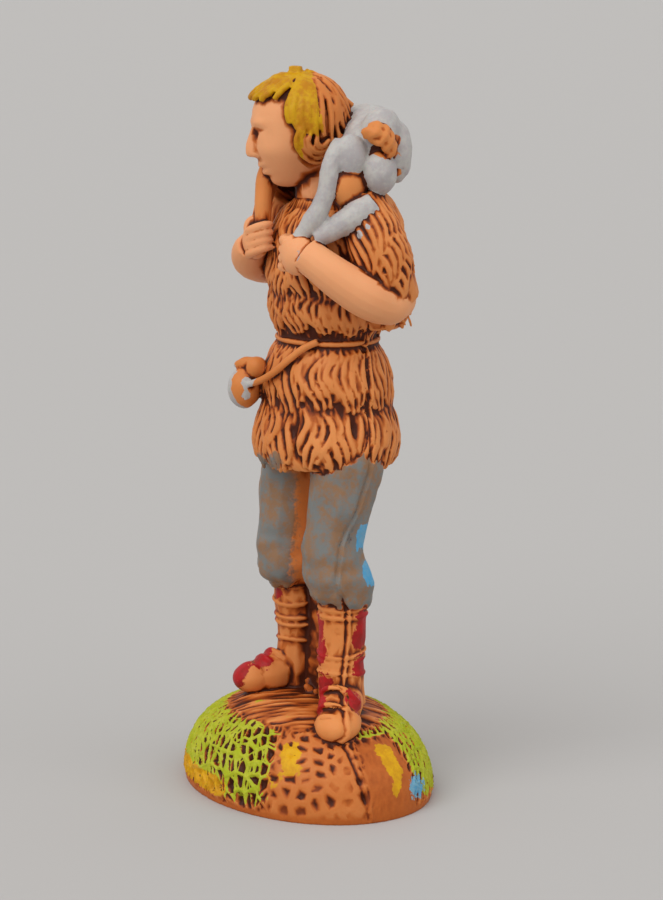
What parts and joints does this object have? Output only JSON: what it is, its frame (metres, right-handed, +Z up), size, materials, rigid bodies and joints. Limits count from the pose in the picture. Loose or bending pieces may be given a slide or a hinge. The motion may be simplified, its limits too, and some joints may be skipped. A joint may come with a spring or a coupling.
{
  "type": "shepherd figurine",
  "caption": "Moulded plastic nativity shepherd carrying a lamb across the shoulders, in a fleece tunic on an oval grassy base, with worn hand paint.",
  "frame": {"origin": "centre of the flat underside of the oval base", "axes": "+Z up along the standing figure, -Y out of the chest, +X to the figure's left"},
  "size_m": [0.0412, 0.0316, 0.1],
  "materials": {
    "painted_plastic": "tan moulded plastic with a brown wash in the hollows and worn patches of hand paint"
  },
  "bodies": {
    "root": {"shepherd_figurine": "painted_plastic"}
  },
  "joints": []
}
